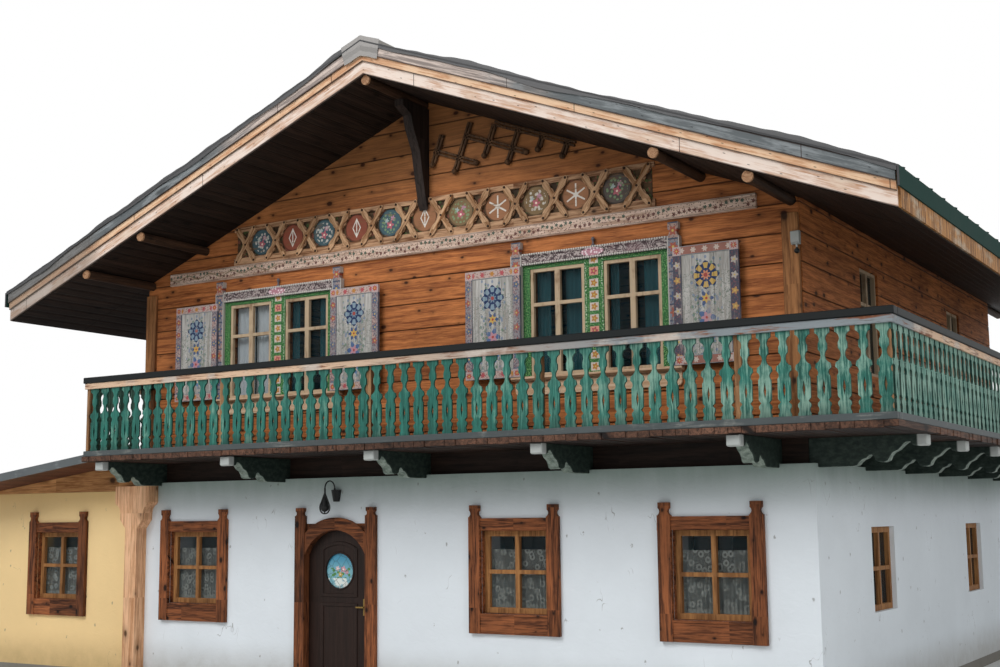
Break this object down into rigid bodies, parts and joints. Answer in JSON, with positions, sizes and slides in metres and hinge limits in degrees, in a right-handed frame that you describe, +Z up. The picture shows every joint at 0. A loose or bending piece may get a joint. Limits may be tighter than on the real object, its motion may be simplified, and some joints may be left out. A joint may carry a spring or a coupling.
{
  "type": "alpine chalet",
  "caption": "Two-storey chalet with a plastered ground floor, timber upper floor, carved wrap-around balcony, painted shutters, wide gable roof and a low side wing.",
  "frame": {"origin": "on the ground under the ridge line, in the plane of the timber storey's front wall", "axes": "+Z up, the gable front with the door faces -Y, +X to the right as seen from the front"},
  "size_m": [15.956, 12.666, 8.5811],
  "materials": {
    "concrete": "rough concrete",
    "white_plaster": "lime plaster, slightly stained",
    "ochre_plaster": "coloured lime plaster",
    "brown_paint": "stained wood",
    "dark_oak": "dark stained wood",
    "iron": "black painted iron",
    "lamp_metal": "grey coating, weathered",
    "brass": "worn",
    "glass": "clear",
    "casement_wood": "varnished",
    "sash_wood": "pale paint",
    "wall_boards": "varnished larch boards",
    "green_board": "speckled green paint",
    "painted_post": "painted with flowers",
    "painted_shutter": "painted with flowers",
    "cream_board": "painted with dots",
    "frieze_wood": "varnished",
    "frieze_paint": "painted with flowers and stars",
    "black_wood": "dark green paint with pale edges",
    "deck_wood": "weathered",
    "rail_wood": "weathered",
    "baluster_paint": "faded green paint",
    "cap_wood": "dark weathered",
    "soffit_wood": "dark stained boards",
    "roof_sheet": "dark green coated sheet",
    "pale_flashing": "pale sheet",
    "grey_board": "weathered grey",
    "peach_board": "peach paint",
    "eave_wood": "varnished",
    "orange_wood": "varnished",
    "wing_roof_wood": "red-brown stain"
  },
  "bodies": {
    "house": {"ground_slab": "concrete", "front_wall_left": "white_plaster", "front_wall_right": "white_plaster", "front_wall_over_door": "white_plaster", "left_wall": "white_plaster", "right_wall": "white_plaster", "back_wall": "white_plaster", "door_frame": "brown_paint", "door_hinge_pins": "iron", "wall_lamp": "iron", "window_surrounds": "brown_paint", "ground_casements": "casement_wood", "ground_glass": "glass", "upper_floor": "wall_boards", "upper_front_wall": "wall_boards", "upper_back_wall": "wall_boards", "upper_left_wall": "wall_boards", "upper_right_wall": "wall_boards", "corner_posts": "wall_boards", "post_lamp": "lamp_metal", "upper_window_boards": "green_board", "upper_window_posts": "painted_post", "upper_sashes": "sash_wood", "upper_glass": "glass", "shutters": "painted_shutter", "cornice_board": "cream_board", "frieze_fretwork": "frieze_wood", "frieze_panels": "frieze_paint", "ridge_bracket": "black_wood", "front_consoles": "black_wood", "side_consoles": "black_wood", "balcony_deck": "deck_wood", "rail_posts": "rail_wood", "lower_rails": "rail_wood", "front_balusters": "baluster_paint", "side_balusters": "baluster_paint", "left_end_balusters": "baluster_paint", "back_end_balusters": "baluster_paint", "rail_boards": "rail_wood", "rail_caps": "cap_wood", "roof_left": "soffit_wood", "roof_right": "soffit_wood", "roofing": "roof_sheet", "ridge_cover": "pale_flashing", "verge_top_boards": "grey_board", "verge_middle_boards": "peach_board", "verge_lower_boards": "peach_board", "eave_boards": "eave_wood", "purlins": "eave_wood", "wing_front_wall": "ochre_plaster", "wing_side_wall": "ochre_plaster", "wing_back_wall": "ochre_plaster", "wing_beam": "orange_wood", "wing_post": "orange_wood", "wing_roof": "wing_roof_wood", "wing_verge_board": "grey_board"},
    "front_door": {"door_leaf": "dark_oak", "door_hinge_straps": "iron", "door_glass": "glass", "door_handle": "brass"}
  },
  "joints": [
    {"name": "front_door_hinge", "type": "hinge", "parent": "house", "child": "front_door", "pos_m": [-1.971, 0.034, 0], "axis": [0, 0, 1], "range_deg": [0, 90]}
  ]
}
